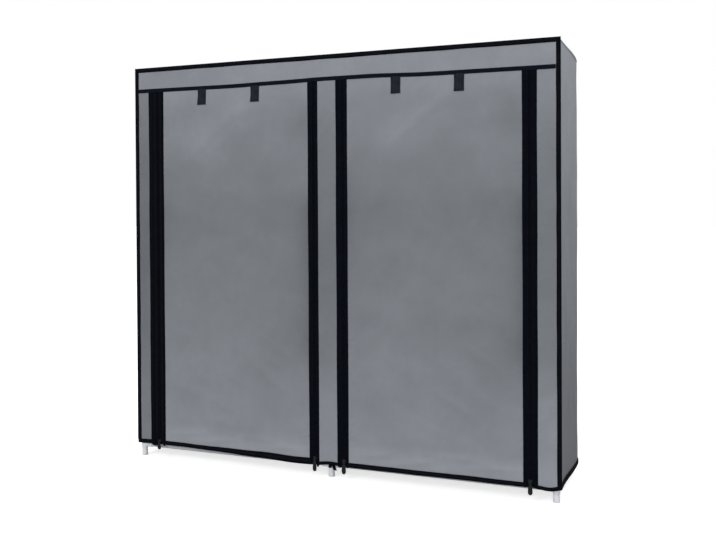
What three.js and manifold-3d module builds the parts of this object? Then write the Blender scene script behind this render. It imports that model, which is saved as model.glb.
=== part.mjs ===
// Portable fabric wardrobe: a steel tube frame with cloth shelves under a fitted cover,
// whose two zipped doors roll up at the front.
// Millimetres. +X is to the right, the front faces -Y, +Z is up, and the floor is at Z = 0.
import * as THREE from 'three';
import { mergeVertices } from 'three/addons/utils/BufferGeometryUtils.js';
import Module from 'manifold-3d';

const wasm = await Module();
wasm.setup();

// Cover
const coverWidth = 1180;
const coverDepth = 280;
const coverHeight = 1100;
const hemHeight = 35;
const coverCloth = 1.2;
const seam = 0.3;

// Binding sewn round the edges, and the band across the front
const bindingWidth = 11;
const bindingCloth = 1;
const bindingReturn = 5;
const hemLap = 5;
const valanceDrop = 60;
const bandWidth = 12;
const bandCloth = 1.2;

// Tabs that hang from the band over each door
const tabWidth = 26;
const tabLength = 40;
const tabCloth = 1.5;
const tabLeftOffset = 94;
const tabRightOffset = 69;

// Zips
const innerZip = 41;
const outerZipInset = 72;
const tapeWidth = 17;
const coilRadius = 1.5;
const coilSpace = 2.2;
const coilSides = 8;
const zipBridge = 9;

// Zip sliders and their pulls
const sliderWidth = 9;
const sliderNose = 6;
const sliderLength = 14;
const sliderPlate = 1.2;
const sliderWeb = 1.4;
const sliderPlay = 0.4;
const sliderRest = 3;
const stopHeight = 2.4;
const bailGap = 2.2;
const bailBar = 1.2;
const bailWidth = 2;
const bailLength = 8;
const pullCloth = 1.2;
const pullPlay = 0.5;
const pullNeck = 6.6;
const pullWidth = 9;
const pullLength = 27;

// Doors: rigid strips, each hinged to the one above, that roll up outwards
const doorHeader = 124;
const doorStripCount = 9;
const doorStripStep = 11;
const hingeShare = 0.75;
const doorHemCloth = 1;
const notchPlay = 1;

// Tube frame
const tubeRadius = 6.5;
const tubeWall = 1;
const columnSideInset = 13;
const columnFrontInset = 14;
const tubeSides = 20;
const railSides = 12;
const footHeight = 20;
const footTopRadius = 7.4;
const footRadius = 9;
const footChamfer = 1.2;
const footSocket = 14;
const tubePlay = 0.3;
const connectorWall = 2;
const connectorHeight = 24;
const socketReach = 26;
const capThickness = 2;
const levelCount = 4;
const bottomRailHeight = 33;

// Cloth shelves
const shelfCloth = 1;
const shelfPlay = 0.3;
const sleeveWidth = 6;

// Tie that hangs from the middle strip's hem, in front of the middle foot
const tieWidth = 8;
const tieCloth = 1;
const tieSpread = 9;
const tieLongTail = 16;
const tieShortTail = 11;
const tieFork = 4;
const tieLap = 8;

const fabricGrey = 0x83868e;
const bindingBlack = 0x101116;
const zipBlack = 0x17181d;
const tubeGrey = 0xd4d6d9;
const plasticWhite = 0xe8e9ea;
const shelfGrey = 0xb7b9bd;

const roundFacets = 6;
const overrun = 5;

const front = -coverDepth / 2;
const side = coverWidth / 2;
const frontMiddle = front + coverCloth / 2;
const clothLayer = [front, front + coverCloth];
const overLayer = front - seam;
const wallTop = coverHeight - coverCloth - seam;
const wallFoot = hemHeight + bindingWidth - hemLap;
const bandTop = coverHeight - valanceDrop;
const bandBottom = bandTop - bandWidth;

const outerZip = side - outerZipInset;
const doorTop = (bandBottom + bandTop) / 2;
const doorCentre = (innerZip + outerZip) / 2;
const doorEdge = (outerZip - innerZip) / 2 - coilSpace / 2;
const doorHingeHeight = doorTop - doorHeader;
const doorLength = doorHingeHeight - hemHeight;
const stripSteps = doorStripCount * (doorStripCount - 1) / 2;
const firstStrip = (doorLength + doorStripStep * stripSteps) / doorStripCount;
const hingeSetback = coverCloth * hingeShare;
const headerFoot = doorHingeHeight + hingeSetback;

const pullHingeHeight = hemHeight + sliderRest + sliderLength / 2;
const pullHingeDepth = frontMiddle - coilRadius - sliderPlay - sliderPlate - bailGap / 2;

const columnX = side - columnSideInset;
const columnY = -front - columnFrontInset;
const columns = [['left', -columnX], ['centre', 0], ['right', columnX]];
const rows = [['front', -columnY], ['back', columnY]];
const connectorRadius = tubeRadius + tubePlay + connectorWall;
const topRailHeight = wallTop - capThickness - connectorHeight / 2;
const levelStep = (topRailHeight - bottomRailHeight) / (levelCount - 1);

const group = new THREE.Group();

// Add one named piece to the model
function addPiece(name, geometry, color, roughness, metalness) {
  const material = new THREE.MeshStandardMaterial({ color, roughness, metalness });
  const mesh = new THREE.Mesh(geometry, material);
  mesh.name = name;
  group.add(mesh);
  return mesh;
}

function addCloth(name, geometry, color = fabricGrey) {
  return addPiece(name, geometry, color, 0.9, 0);
}

function addPlastic(name, geometry, color) {
  return addPiece(name, geometry, color, 0.5, 0);
}

// Closed geometry to a solid, and back
function solidOf(geometry) {
  const bare = geometry.clone();
  bare.deleteAttribute('normal');
  bare.deleteAttribute('uv');
  const merged = mergeVertices(bare);
  return new wasm.Manifold(new wasm.Mesh({
    numProp: 3,
    vertProperties: new Float32Array(merged.getAttribute('position').array),
    triVerts: new Uint32Array(merged.index.array),
  }));
}

function geometryOf(solid) {
  const { vertProperties, triVerts } = solid.getMesh();
  const geometry = new THREE.BufferGeometry();
  geometry.setAttribute('position', new THREE.BufferAttribute(vertProperties, 3));
  geometry.setIndex(new THREE.BufferAttribute(triVerts, 1));
  geometry.computeVertexNormals();
  return geometry;
}

function join(geometries) {
  return geometries.map(solidOf).reduce((whole, part) => whole.add(part));
}

function cut(solid, geometries) {
  return geometries.map(solidOf).reduce((left, tool) => left.subtract(tool), solid);
}

// A box between two limits on each axis
function block([x0, x1], [y0, y1], [z0, z1]) {
  const geometry = new THREE.BoxGeometry(x1 - x0, y1 - y0, z1 - z0);
  geometry.translate((x0 + x1) / 2, (y0 + y1) / 2, (z0 + z1) / 2);
  return geometry;
}

// A round bar between two points
function bar(radius, from, to, sides = railSides) {
  const start = new THREE.Vector3(...from);
  const along = new THREE.Vector3(...to).sub(start);
  const geometry = new THREE.CylinderGeometry(radius, radius, along.length(), sides);
  const turn = new THREE.Quaternion();
  turn.setFromUnitVectors(new THREE.Vector3(0, 1, 0), along.clone().normalize());
  geometry.applyQuaternion(turn);
  const middle = start.addScaledVector(along, 1 / 2);
  geometry.translate(middle.x, middle.y, middle.z);
  return geometry;
}

// An outline drawn in X and Z, filled between two Y limits
function slab(points, [y0, y1], hole = null) {
  const shape = new THREE.Shape(points.map(([x, z]) => new THREE.Vector2(x, z)));
  if (hole) {
    shape.holes.push(new THREE.Path(hole.map(([x, z]) => new THREE.Vector2(x, z))));
  }
  const geometry = new THREE.ExtrudeGeometry(shape, { depth: y1 - y0, bevelEnabled: false });
  geometry.rotateX(Math.PI / 2);
  geometry.translate(0, y1, 0);
  return geometry;
}

// An outline drawn in Y and Z, filled between two X limits
function beam(points, [x0, x1]) {
  const shape = new THREE.Shape(points.map(([y, z]) => new THREE.Vector2(y, z)));
  const geometry = new THREE.ExtrudeGeometry(shape, { depth: x1 - x0, bevelEnabled: false });
  const turn = new THREE.Matrix4();
  turn.makeBasis(new THREE.Vector3(0, 1, 0), new THREE.Vector3(0, 0, 1), new THREE.Vector3(1, 0, 0));
  geometry.applyMatrix4(turn);
  geometry.translate(x0, 0, 0);
  return geometry;
}

// Points of a half circle, from its right-hand end over the top, or under it
function halfRound(x, z, radius, under = false) {
  const curve = new THREE.EllipseCurve(x, z, radius, radius, 0, under ? -Math.PI : Math.PI, under);
  return curve.getPoints(roundFacets).map((p) => [p.x, p.y]);
}

// Limits grown by the same amount at both ends
function grow([low, high], by) {
  return [low - by, high + by];
}

// Cover panels

function makeRoof() {
  addCloth('roof_panel', block([-side, side], [front, -front], [wallTop + seam, coverHeight]));
}

function makeBack() {
  addCloth('back_panel', block([-side, side], [-front - coverCloth, -front], [wallFoot, wallTop]));
}

function makeSides() {
  const inner = -front - coverCloth - seam;
  for (const [name, hand] of [['left', -1], ['right', 1]]) {
    const wall = block([side - coverCloth, side], [-inner, inner], [wallFoot, wallTop]);
    wall.translate(hand < 0 ? coverCloth - coverWidth : 0, 0, 0);
    addCloth(`${name}_side_panel`, wall);
  }
}

// The front panel is the valance and the three strips beside the zips, cut from one cloth
function makeFrontPanel() {
  const outer = outerZip + tapeWidth + seam;
  const inner = innerZip - tapeWidth - seam;
  const half = [
    [inner, wallFoot], [inner, doorTop], [outer, doorTop], [outer, wallFoot],
    [side, wallFoot], [side, wallTop],
  ];
  const mirrored = half.map(([x, z]) => [-x, z]).reverse();
  const panel = slab([...half, ...mirrored], clothLayer);
  const hem = block(
    [-inner, inner], grow(clothLayer, seam + bindingCloth), [hemHeight, hemHeight + bindingWidth]);
  addCloth('front_panel', geometryOf(join([panel, hem])));
}

// Binding

function makeEdgeBinding() {
  const x = side + seam;
  const y = front - seam;
  const z = coverHeight + seam;
  const base = hemHeight + bindingWidth + seam;
  const whole = solidOf(block(
    [-x - bindingCloth, x + bindingCloth], [y - bindingCloth, front + bindingReturn],
    [base, z + bindingCloth]));
  const binding = cut(whole, [
    block([-x, x], [y, overrun], [0, z]),
    block(
      [bindingWidth - side, side - bindingWidth], [y - overrun, overrun],
      [0, coverHeight - bindingWidth]),
  ]);
  addCloth('front_edge_binding', geometryOf(binding), bindingBlack);
}

function makeBand() {
  const reach = side - bindingWidth - seam;
  const band = block([-reach, reach], [overLayer - bandCloth, overLayer], [bandBottom, bandTop]);
  addCloth('valance_band', band, bindingBlack);
}

function makeTabs() {
  const top = bandBottom - seam;
  const places = [
    ['left_door_left_tab', -doorCentre - tabLeftOffset],
    ['left_door_right_tab', -doorCentre + tabRightOffset],
    ['right_door_left_tab', doorCentre - tabLeftOffset],
    ['right_door_right_tab', doorCentre + tabRightOffset],
  ];
  for (const [name, x] of places) {
    const tab = block(
      [x - tabWidth / 2, x + tabWidth / 2], [overLayer - tabCloth, overLayer],
      [top - tabLength, top]);
    addCloth(name, tab, bindingBlack);
  }
}

// The hem binding runs from one outer zip round the back to the other, folded over the cloth
function makeHem() {
  const fold = seam + bindingCloth;
  const height = [hemHeight, hemHeight + bindingWidth];
  const ring = (out, into, z) => solidOf(block([-side - out, side + out], [front - out, out - front], z))
    .subtract(solidOf(block(
      [coverCloth + into - side, side - coverCloth - into],
      [front + coverCloth + into, -front - coverCloth - into], grow(z, overrun))));
  const gap = outerZip + tapeWidth + seam;
  const groove = ring(seam, seam, [wallFoot - seam, height[1] + overrun]);
  const doorway = block([-gap, gap], [front - overrun, front + overrun], grow(height, overrun));
  const hem = cut(ring(fold, fold, height).subtract(groove), [doorway]);
  addCloth('hem_binding', geometryOf(hem), bindingBlack);
}

// Zips

const zips = [
  { name: 'left_outer', x: -outerZip, doorSide: 1 },
  { name: 'left_inner', x: -innerZip, doorSide: -1 },
  { name: 'right_inner', x: innerZip, doorSide: 1 },
  { name: 'right_outer', x: outerZip, doorSide: -1 },
];

// One row of a zip's coil, as a bead along the edge of its tape
function coil(x, y, [z0, z1]) {
  return bar(coilRadius, [x, y, z0], [x, y, z1], coilSides);
}

// The fixed half of a zip runs from the hem to the band, and crosses over to the door's header.
// It is drawn with its door on the right, about the zip's own centre line.
function makeZip({ name, x, doorSide }) {
  const near = coilSpace / 2;
  const coilX = near + coilRadius;
  const top = doorTop - seam;
  const coilTop = top - bandWidth / 2 - zipBridge;
  const tape = geometryOf(join([
    block([-tapeWidth, -coilX], clothLayer, [hemHeight, top]),
    block([coilX, tapeWidth], clothLayer, [headerFoot, top]),
    block([-tapeWidth, tapeWidth], clothLayer, [coilTop, top]),
    coil(-coilX, frontMiddle, [hemHeight, coilTop + seam]),
    coil(coilX, frontMiddle, [headerFoot, coilTop + seam]),
    block(
      [-coilX - coilRadius - seam, -near], grow(clothLayer, coilRadius),
      [hemHeight, hemHeight + stopHeight]),
  ]));
  const mesh = addCloth(`${name}_zip_tape`, tape, zipBlack);
  mesh.position.x = x;
  mesh.scale.x = doorSide;
}

// The slider's two plates are joined by a web that passes between the coils
function makeSlider({ name, x }) {
  const foot = hemHeight + sliderRest;
  const inner = coilRadius + sliderPlay;
  const w = sliderWidth / 2;
  const n = sliderNose / 2;
  const shoulder = foot + sliderLength * 2 / 3;
  const outline = [
    [-n, foot], [n, foot], [w, shoulder], [w, foot + sliderLength],
    [-w, foot + sliderLength], [-w, shoulder],
  ];
  const face = frontMiddle - inner - sliderPlate;
  const bailFront = face - bailGap - bailBar;
  const bail = [pullHingeHeight - bailLength / 2, pullHingeHeight + bailLength / 2];
  const middle = grow([0, 0], bailWidth / 2);
  const slider = join([
    slab(outline, [face, frontMiddle - inner]),
    slab(outline, [frontMiddle + inner, frontMiddle + inner + sliderPlate]),
    block(
      grow([0, 0], sliderWeb / 2), [face + sliderPlate / 2, frontMiddle + inner + sliderPlate / 2],
      [shoulder, foot + sliderLength]),
    block(middle, [bailFront, bailFront + bailBar], bail),
    block(middle, [bailFront, face + sliderPlate / 2], [bail[0], bail[0] + bailBar]),
    block(middle, [bailFront, face + sliderPlate / 2], [bail[1] - bailBar, bail[1]]),
  ]);
  const mesh = addPlastic(`${name}_zip_slider`, geometryOf(slider), zipBlack);
  mesh.position.x = x;
}

// The pull hangs from the bail by a cross bar, and tapers into a rounded tongue
function makePull({ name, x }) {
  const y = pullHingeDepth;
  const round = pullWidth / 2;
  const eye = bailWidth / 2 + pullPlay;
  const neck = pullNeck / 2;
  const top = pullCloth / 2;
  const eyeFoot = -Math.hypot(bailLength / 2, bailGap / 2 + bailBar) - pullPlay;
  const shoulder = eyeFoot - pullCloth;
  const tongue = [
    [neck, top], [neck, shoulder], [round, shoulder - round],
    ...halfRound(0, round - pullLength, round, true),
    [-round, shoulder - round], [-neck, shoulder], [-neck, top],
  ];
  const hole = [[-eye, eyeFoot], [eye, eyeFoot], [eye, -top], [-eye, -top]];
  const pull = addPlastic(
    `${name}_zip_pull`, slab(tongue, grow([y, y], pullCloth / 2), hole), zipBlack);
  pull.position.set(x, 0, pullHingeHeight);
}

// Doors

// The strip that stays flat between the band and the first hinge
function makeHeader(name, x) {
  const reach = doorEdge + coilSpace / 2 - tapeWidth - seam;
  const edge = coverCloth / 2;
  const height = doorTop - seam - doorHingeHeight;
  const outline = [...halfRound(0, hingeSetback, edge, true), [-edge, height], [edge, height]];
  const mesh = addCloth(`${name}_door_header`, beam(outline, [-reach, reach]));
  mesh.position.set(x, frontMiddle, doorHingeHeight);
}

// One strip of a door, hanging from its hinge line at the origin, with half a zip at each side
function makeStrip(length, last) {
  const edge = coverCloth / 2;
  const outline = [
    ...halfRound(0, -hingeSetback, edge),
    ...(last
      ? [[-edge, -length], [edge, -length]]
      : halfRound(0, hingeSetback - length, edge, true).reverse()),
  ];
  const coilX = doorEdge - coilRadius;
  const setback = coilRadius + seam;
  const run = [last ? -length : setback - length, -setback];
  const parts = [
    beam(outline, [-coilX, coilX]), coil(-coilX, 0, run), coil(coilX, 0, run),
  ];
  if (!last) return geometryOf(join(parts));
  const hemReach = coilX + seam;
  const hemDepth = grow([-edge, edge], doorHemCloth);
  parts.push(block([-hemReach, hemReach], hemDepth, [-length, bindingWidth - length]));
  const notch = doorEdge + coilSpace / 2 - sliderWidth / 2 - notchPlay;
  const notchTop = sliderRest + sliderLength + notchPlay - length;
  const deep = grow([-edge, edge], overrun);
  return geometryOf(cut(join(parts), [
    block([-doorEdge - overrun, -notch], deep, [-length - overrun, notchTop]),
    block([notch, doorEdge + overrun], deep, [-length - overrun, notchTop]),
  ]));
}

function makeDoor(name, x) {
  let top = doorHingeHeight;
  for (let index = 0; index < doorStripCount; index += 1) {
    const length = firstStrip - doorStripStep * index;
    const strip = makeStrip(length, index === doorStripCount - 1);
    const mesh = addCloth(`${name}_door_strip_${index + 1}`, strip);
    mesh.position.set(x, frontMiddle, top);
    top -= length;
  }
}

// Frame

function railHeight(level) {
  return bottomRailHeight + level * levelStep;
}

// An upright tube standing in its flared foot
function makeUpright(name, x, y) {
  const top = wallTop - capThickness - tubePlay;
  const profile = [
    [0, 0], [footRadius - footChamfer, 0], [footRadius, footChamfer],
    [footTopRadius, footHeight], [tubeRadius, footHeight], [tubeRadius, top],
    [tubeRadius - tubeWall, top], [tubeRadius - tubeWall, footHeight - footSocket],
    [0, footHeight - footSocket],
  ].map(([radius, z]) => new THREE.Vector2(radius, z));
  const upright = new THREE.LatheGeometry(profile, tubeSides);
  upright.rotateX(Math.PI / 2);
  const mesh = addPiece(`${name}_upright`, upright, tubeGrey, 0.4, 0.2);
  mesh.position.set(x, y, 0);
}

// One level: front and back rails, a cross rail at each column, and the plastic connectors
function makeLevel(level) {
  const z = railHeight(level);
  const half = connectorHeight / 2;
  const last = level === levelCount - 1;
  const cap = last ? capThickness : 0;
  const parts = [];
  const bores = [];
  for (const [, y] of rows) {
    parts.push(bar(tubeRadius, [-columnX, y, z], [columnX, y, z]));
    for (const [, x] of columns) {
      parts.push(bar(connectorRadius, [x, y, z - half], [x, y, z + half + cap]));
      const bore = tubeRadius + tubePlay;
      bores.push(bar(bore, [x, y, z - half - overrun], [x, y, z + half + (last ? 0 : overrun)]));
      const inward = Math.sign(-y) * socketReach;
      parts.push(bar(connectorRadius, [x, y, z], [x, y + inward, z]));
      for (const hand of [-1, 1]) {
        if (hand * x > 0) continue;
        parts.push(bar(connectorRadius, [x, y, z], [x + hand * socketReach, y, z]));
      }
    }
  }
  for (const [, x] of columns) {
    parts.push(bar(tubeRadius, [x, -columnY, z], [x, columnY, z]));
  }
  addPiece(`level_${level + 1}_frame`, geometryOf(cut(join(parts), bores)), plasticWhite, 0.5, 0);
}

// A cloth shelf lies on the cross rails, with a sleeve round the front rail and one round the back
function makeShelf(level) {
  const z = railHeight(level);
  const inner = tubeRadius + shelfPlay;
  const outer = inner + shelfCloth;
  const end = columnX - socketReach - sleeveWidth;
  const sleeves = rows.map(([, y]) => bar(outer, [-end, y, z], [end, y, z]));
  const sheet = block([-end, end], [-columnY, columnY], [z + inner, z + outer]);
  const tunnels = rows.map(([, y]) => bar(inner, [-end - overrun, y, z], [end + overrun, y, z]));
  const gap = socketReach + sleeveWidth;
  const notches = rows.map(([, y]) => {
    const across = [y - Math.sign(y) * gap, y + Math.sign(y) * gap].sort((p, q) => p - q);
    return block([-gap, gap], across, grow([z, z], connectorHeight));
  });
  const shelf = cut(join([...sleeves, sheet]), [...tunnels, ...notches]);
  addCloth(`level_${level + 1}_shelf`, geometryOf(shelf), shelfGrey);
}

// The tie forks into two tails below the hem
function makeTie() {
  const w = tieWidth / 2;
  const outline = [
    [-w, tieLap], [-w - tieSpread, -tieShortTail], [w - tieSpread, -tieShortTail], [0, -tieFork],
    [tieSpread - w, -tieLongTail], [tieSpread + w, -tieLongTail], [w, tieLap],
  ];
  const back = front + coverCloth + bindingCloth + 2 * seam;
  const mesh = addCloth('centre_tie', slab(outline, [back, back + tieCloth]), bindingBlack);
  mesh.position.z = hemHeight;
}

makeRoof();
makeBack();
makeSides();
makeFrontPanel();
makeEdgeBinding();
makeBand();
makeTabs();
makeHem();
for (const zip of zips) {
  makeZip(zip);
  makeSlider(zip);
  makePull(zip);
}
for (const [name, x] of [['left', -doorCentre], ['right', doorCentre]]) {
  makeHeader(name, x);
  makeDoor(name, x);
}
for (const [xName, x] of columns) {
  for (const [yName, y] of rows) makeUpright(`${xName}_${yName}`, x, y);
}
for (let level = 0; level < levelCount; level += 1) {
  makeLevel(level);
  if (level < levelCount - 1) makeShelf(level);
}
makeTie();

export default group;
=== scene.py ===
# Looks of the portable fabric wardrobe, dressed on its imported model.
# Lengths are in millimetres here, and become metres where a mesh is made.
from math import ceil, cos, floor, pi, radians, sin

import bmesh
import bpy
import numpy as np
from mathutils import Matrix, Vector


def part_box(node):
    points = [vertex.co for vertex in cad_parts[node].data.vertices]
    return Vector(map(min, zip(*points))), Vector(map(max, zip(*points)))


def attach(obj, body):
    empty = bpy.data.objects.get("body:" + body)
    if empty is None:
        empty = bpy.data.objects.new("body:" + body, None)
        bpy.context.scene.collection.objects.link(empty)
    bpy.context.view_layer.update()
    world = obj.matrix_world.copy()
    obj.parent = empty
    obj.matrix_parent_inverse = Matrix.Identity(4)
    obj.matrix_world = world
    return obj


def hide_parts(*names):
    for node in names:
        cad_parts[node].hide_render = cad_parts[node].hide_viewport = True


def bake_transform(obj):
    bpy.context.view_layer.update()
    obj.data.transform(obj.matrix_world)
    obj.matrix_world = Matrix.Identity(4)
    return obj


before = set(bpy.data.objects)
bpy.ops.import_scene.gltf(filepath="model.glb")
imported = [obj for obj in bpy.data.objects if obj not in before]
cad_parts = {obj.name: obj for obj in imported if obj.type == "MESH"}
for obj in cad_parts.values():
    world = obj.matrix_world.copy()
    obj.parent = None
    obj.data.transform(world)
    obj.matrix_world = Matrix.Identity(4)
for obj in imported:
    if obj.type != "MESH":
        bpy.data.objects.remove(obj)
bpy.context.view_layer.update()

# The cover: half its width, its front, its top and its hem
SIDE, FRONT, TOP, HEM = 590.0, -140.0, 1100.0, 35.0
BACK, DEPTH = -FRONT, -2 * FRONT
CLOTH = 1.2
CORNER, ROOF_EDGE, HEM_ROUND = 14.0, 3.5, 5.0
BINDING = 11.0
BAND, BAND_WIDTH = 1028.0, 10.6
FLARE, SLUMP = 6.5, 14.0
# the height over which the hem's unevenness fades, and a height within the hem's binding
HEM_FADE, HEM_BODY = 230.0, 5.5

# The doors and zips: a zip has its name, its place and the side of it that the door is on
DOOR_TOP, DOOR_HINGE = 1034.0, 910.0
STRIPS, STRIP_STEP = 9, 11.0
INNER_ZIP, OUTER_ZIP = 41.0, 518.0
DOOR_CENTRE = (INNER_ZIP + OUTER_ZIP) / 2
DOORS = [("left", -DOOR_CENTRE), ("right", DOOR_CENTRE)]
ZIPS = [("left_outer", -OUTER_ZIP, 1), ("left_inner", -INNER_ZIP, -1),
        ("right_inner", INNER_ZIP, 1), ("right_outer", OUTER_ZIP, -1)]
TAPE, CLOTH_GAP = 17.0, 6.5
DOOR_REACH = OUTER_ZIP - DOOR_CENTRE - CLOTH_GAP
# half the height of the cloth that bends at a hinge
BEND = 18.0

first = (DOOR_HINGE - HEM + STRIP_STEP * STRIPS * (STRIPS - 1) / 2) / STRIPS
lengths = [first - STRIP_STEP * k for k in range(STRIPS)]
hinges = [DOOR_HINGE - sum(lengths[:k]) for k in range(STRIPS)]
seams = [DOOR_TOP] + [h - a / 2 for h, a in zip(hinges[:-1], lengths[:-1])] + [HEM]

# The frame
COLUMN_X, COLUMN_Y = 577.0, 126.0
TUBE, CONNECTOR = 6.5, 8.8
RAILS = [33.0 + 350.5 * k for k in range(4)]

# Shapes of the cloth

CIRCLE = 6.283


def ease(t):
    """A soft step from 0 to 1."""
    t = np.clip(t, 0, 1)
    return t * t * (3 - 2 * t)


def bump(d, width):
    return np.exp(-(d / width) ** 2)


def through(x, points):
    """A soft line through (place, value) points."""
    xs, ys = zip(*points)
    x = np.clip(x, xs[0], xs[-1])
    out = np.full_like(np.asarray(x, float), ys[0])
    for x0, x1, y0, y1 in zip(xs, xs[1:], ys, ys[1:]):
        out = out + (y1 - y0) * ease((x - x0) / (x1 - x0))
    return out


def ripple(u, v, seed, size):
    """Unevenness of cloth, about -1 to 1, in humps about this size."""
    total = 0.0
    for k in range(7):
        turn = seed * 1.9 + k * 2.4
        wave = size * (0.75 + 0.28 * k)
        along = u * cos(turn) + v * sin(turn)
        across = u * sin(turn) - v * cos(turn)
        total = total + np.sin(CIRCLE * along / wave + 1.3 * np.sin(across / wave * 2.1 + k) + seed * k)
    return total / 3.4


def creases(u, v, rows):
    """Soft ridges, each (u, v, angle, half length, half width, height)."""
    total = 0.0
    for cu, cv, angle, long, wide, high in rows:
        a = radians(angle)
        along = (u - cu) * cos(a) + (v - cv) * sin(a)
        across = (v - cv) * cos(a) - (u - cu) * sin(a) + 6 * np.sin(along / 45 + cu)
        total = total + 1.6 * high * bump(along, long) * bump(across, 1.15 * wide)
    return total


DOOR_CREASES = [
    (-27, 926, 36, 120, 13, 2.4), (48, 902, 42, 80, 18, 1.3), (-120, 868, 8, 90, 20, 1.2),
    (135, 915, 58, 70, 15, 1.0), (-165, 960, 70, 60, 12, 0.9), (110, 800, 62, 90, 14, 0.8),
    (95, 262, -33, 130, 14, 1.2), (55, 212, -30, 120, 13, 1.0), (130, 325, -36, 100, 12, 1.0),
    (-70, 178, -18, 120, 14, 0.9), (-110, 600, 62, 90, 14, 0.6), (30, 540, 78, 110, 15, 0.7),
    (130, 690, 52, 90, 13, 0.7), (-40, 420, -62, 110, 14, 0.6), (160, 450, 80, 100, 12, 0.7),
    (-150, 78, 12, 60, 8, 1.0), (-60, 64, 4, 80, 7, 0.9), (60, 84, -8, 80, 9, 1.0),
    (150, 66, 9, 60, 7, 0.9), (0, 110, -4, 120, 14, 0.7),
]
SIDE_CREASES = [
    (60, 985, 62, 90, 9, 1.6), (130, 930, 75, 110, 10, 1.4), (200, 1010, -60, 70, 9, 1.2),
    (85, 760, 86, 130, 9, 1.1), (160, 640, 94, 150, 11, 1.2), (225, 520, 84, 130, 9, 1.0),
    (70, 430, 97, 120, 9, 0.9), (140, 300, 82, 120, 11, 1.0), (210, 180, 100, 90, 9, 1.0),
]


def hem_rise(x):
    """Height of the front's hem along the front, against its mean height."""
    return through(x, [
        (-590, 3), (-540, 4), (-470, 4), (-330, 1.8), (-200, -2), (-90, -6), (-45, -5.5), (0, -0.8),
        (45, -2.8), (160, -2.6), (330, -2.4), (470, -2.2), (515, -2.4), (563, -6), (590, -1.5)])


def near_hem(z):
    """1 at the hem, and 0 above where its unevenness fades."""
    return 1 - ease((z - HEM) / HEM_FADE)


def flare(y):
    """How far the sides stand wide of the frame toward the back."""
    return FLARE * ease((y - FRONT) / 230)


def slump(x, y):
    """How far the cover's upper edge dips outside the frame, most at the back corners."""
    a = np.abs(x) / (1 + flare(y) / SIDE) - SIDE + CORNER
    b = y + FRONT + CORNER
    far = np.hypot(np.maximum(a, 0), np.maximum(b, 0))
    inside = CORNER - np.where(far > 0, far, np.maximum(a, b))
    shoulder = 1 - np.sqrt(1 - np.clip(1 - inside / 12, 0, 1) ** 2)
    return SLUMP * np.clip((y - FRONT) / DEPTH, 0, 1) * ease((np.abs(x) - 440) / 140) * shoulder


def on_door(x, z):
    away = np.abs(x)
    return (away > INNER_ZIP) & (away < OUTER_ZIP) & (z < DOOR_TOP)


def drape(x, z):
    """How far the front cloth stands out from its flat layer."""
    away = np.abs(x)
    held = np.minimum.reduce([
        np.abs(away - INNER_ZIP) - TAPE + 2, np.abs(away - OUTER_ZIP) - TAPE + 2,
        np.abs(SIDE - away) - 8])
    held = np.where(z > DOOR_TOP, np.minimum(SIDE - away - 8, TOP - 13 - z), held)
    band = np.abs(z - DOOR_TOP) - 7
    free = ease(held / 60) * ease(band / 45)
    place = x - np.sign(x) * DOOR_CENTRE
    out = free * (2.1 * ripple(x, z, 1.3, 250) + 0.9 * ripple(x, z, 4.1, 95) + 1.0)
    folds = ease(held / 25) * ease(band / 12) * creases(place, z, DOOR_CREASES)
    out = out + np.where(on_door(x, z), folds, 0)
    out = out + 0.30 * ease(held / 9) * ease(band / 10) * ripple(x * 1.6, z, 2.2, 62)
    pucker = np.sin(z / 3.4 + 2 * np.sin(z / 37 + x)) * np.exp(-np.clip(held, 0, 60) / 9)
    return out + 0.22 * pucker * ease(held / 3) * ease(band / 6)


def front_depth(x, z):
    return FRONT - drape(x, z)


def front_point(x, z):
    return np.stack([x + 0 * z, front_depth(x, z), z + hem_rise(x) * near_hem(z)], -1)


# painted light and shade patches of a door: gain, place across and half width, height and half height
PAINTED_DOOR_LIGHT_PATCHES = [
    (-0.08, 0.75, 0.32, 0.3, 0.09), (-0.14, 0.95, 0.24, 0.885, 0.045), (-0.05, 0.45, 0.22, 0.22, 0.2),
    (-0.06, 0.15, 0.3, 0.81, 0.04), (0.09, -0.42, 0.24, 0.828, 0.036), (0.03, -0.7, 0.4, 0.88, 0.05)]


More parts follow.
